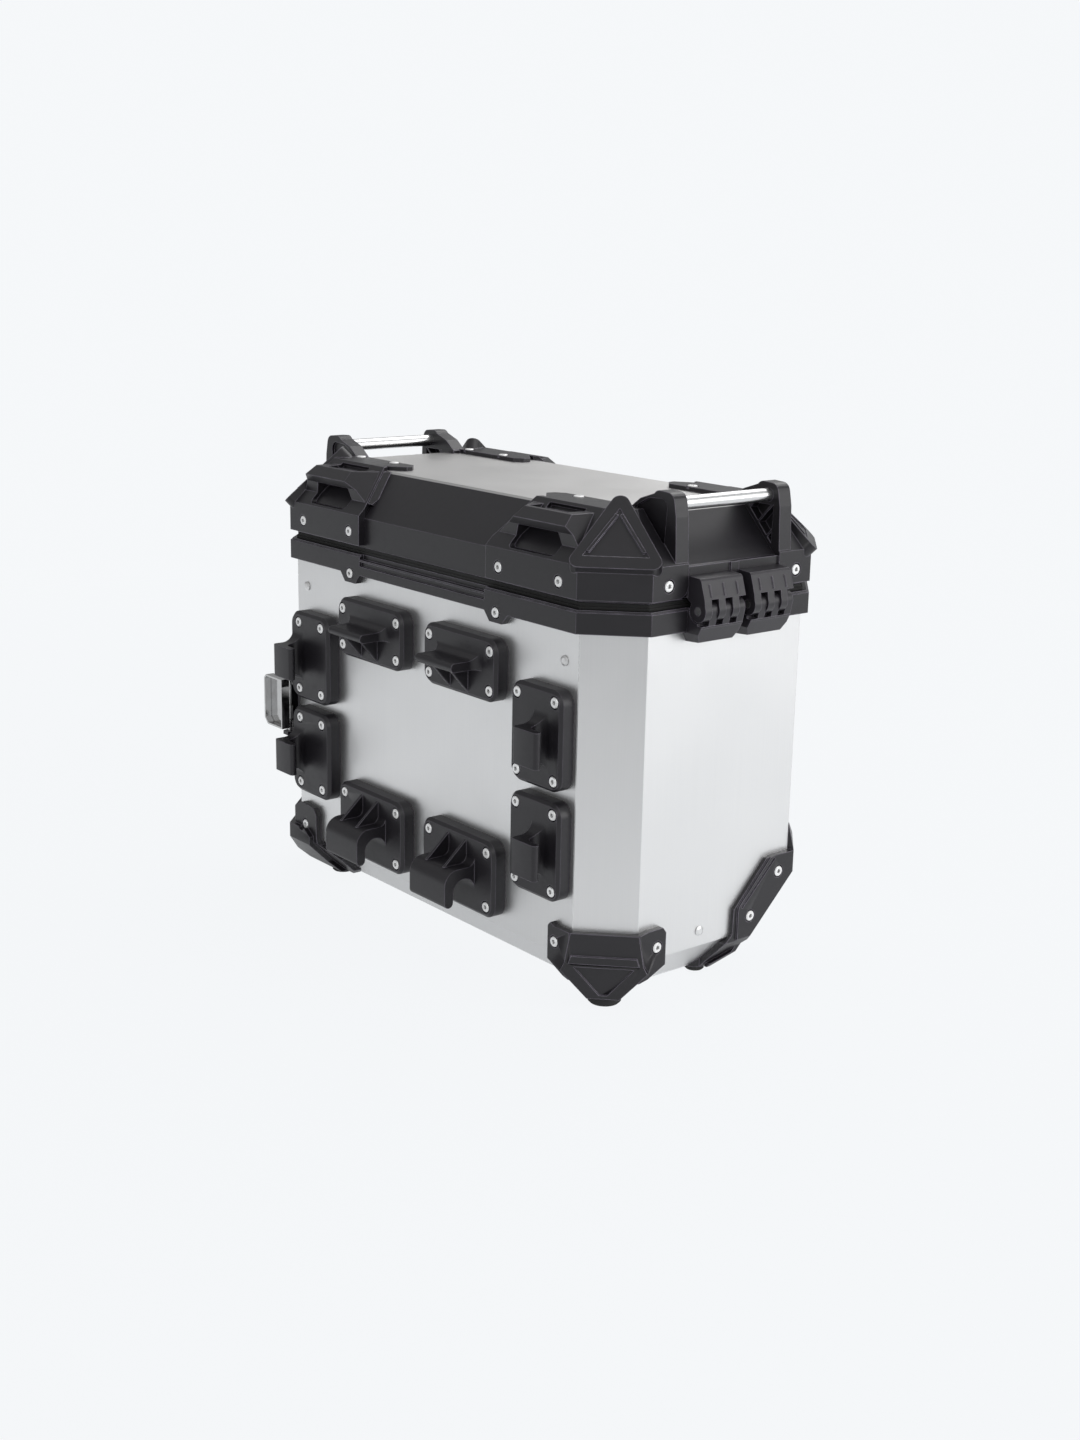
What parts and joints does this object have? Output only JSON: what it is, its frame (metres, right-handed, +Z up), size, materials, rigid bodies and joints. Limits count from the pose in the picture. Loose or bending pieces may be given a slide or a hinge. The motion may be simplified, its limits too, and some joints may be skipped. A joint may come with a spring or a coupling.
{
  "type": "motorcycle side case",
  "caption": "Aluminium motorcycle luggage case with moulded lid, corner caps, carry bars, rack hooks, corner guards and a hinged lid",
  "frame": {"origin": "on the ground, at the centre of the whole footprint", "axes": "+X towards the lid hinges, -Y towards the motorcycle's rack, +Z up"},
  "size_m": [0.4864, 0.2703, 0.377],
  "materials": {
    "brushed_sheet": "brushed, anodised dark silver",
    "inner_aluminium": "mill finish",
    "lid_plate": "fine bead-blasted, bright cut edge",
    "moulding": "fine-grained satin",
    "fitting_plastic": "fine-grained satin",
    "panel_plastic": "satin",
    "seal_rubber": "soft matt",
    "foot_rubber": "hard matt",
    "hook_plastic": "fine-grained satin",
    "bar_aluminium": "brushed, anodised silver",
    "screw_steel": "bright stainless",
    "plain_steel": "turned stainless",
    "rivet_aluminium": "plain",
    "polished_steel": "bright polished"
  },
  "bodies": {
    "case": {"wrap_sheet": "brushed_sheet", "rack_panel": "brushed_sheet", "floor_tray": "brushed_sheet", "collar": "moulding", "collar_seal": "seal_rubber", "hinge_lower_rack": "fitting_plastic", "hinge_lower_road": "fitting_plastic", "hinge_pin_rack": "plain_steel", "hinge_pin_road": "plain_steel", "hook_upper_latch": "hook_plastic", "hook_upper_hinge": "hook_plastic", "hook_lower_latch": "hook_plastic", "hook_lower_hinge": "hook_plastic", "hook_side_latch_high": "hook_plastic", "hook_side_latch_low": "hook_plastic", "hook_side_hinge_high": "hook_plastic", "hook_side_hinge_low": "hook_plastic", "protector_rack_hinge": "moulding", "protector_rack_latch": "moulding", "protector_road_hinge": "moulding", "protector_road_latch": "moulding", "foot_rack_hinge": "foot_rubber", "foot_rack_latch": "foot_rubber", "foot_road_hinge": "foot_rubber", "foot_road_latch": "foot_rubber", "hook_screws": "screw_steel", "hook_nuts": "plain_steel", "backing_strips": "inner_aluminium", "collar_screws": "screw_steel", "protector_screws": "screw_steel", "body_rivets": "rivet_aluminium", "latch_housing": "moulding", "latch_pins": "plain_steel", "rack_lock_base": "fitting_plastic", "rack_lock_pin": "plain_steel"},
    "lid": {"lid_shell": "moulding", "lid_top_plate": "lid_plate", "cap_rack_hinge": "moulding", "cap_road_hinge": "moulding", "cap_rack_latch": "moulding", "cap_road_latch": "moulding", "corner_panels": "panel_plastic", "carry_bar_hinge_end": "bar_aluminium", "carry_bar_latch_end": "bar_aluminium", "hinge_upper_rack": "fitting_plastic", "hinge_upper_road": "fitting_plastic", "cap_side_screws": "screw_steel", "cap_top_screws": "screw_steel", "latch_keeper": "moulding"},
    "latch_lever": {"latch_lever": "fitting_plastic"},
    "latch_bail": {"latch_bail": "plain_steel"},
    "lock": {"lock_cylinder": "plain_steel"},
    "rack_lock": {"rack_lock_lever": "polished_steel"}
  },
  "joints": [
    {"name": "lid_hinge", "type": "hinge", "parent": "case", "child": "lid", "pos_m": [0.2352, 0.01484, 0.295], "axis": [0, 1, 0], "range_deg": [0, 95]},
    {"name": "latch_lever_pivot", "type": "hinge", "parent": "case", "child": "latch_lever", "pos_m": [-0.234, 0.01484, 0.288], "axis": [0, 1, 0], "range_deg": [0, 100]},
    {"name": "latch_bail_pivot", "type": "hinge", "parent": "latch_lever", "child": "latch_bail", "pos_m": [-0.238, 0.01484, 0.28], "axis": [0, 1, 0], "range_deg": [-100, 0]},
    {"name": "lock_turn", "type": "hinge", "parent": "latch_lever", "child": "lock", "pos_m": [-0.24, 0.01484, 0.257], "axis": [-1, 0, 0], "range_deg": [0, 90]},
    {"name": "rack_lock_pivot", "type": "hinge", "parent": "case", "child": "rack_lock", "pos_m": [-0.1935, -0.10116, 0.15], "axis": [0, 0, 1], "range_deg": [0, 80]}
  ],
  "couplings": [
    {"joint": "latch_bail_pivot", "follows": "latch_lever_pivot", "ratio": -1}
  ]
}
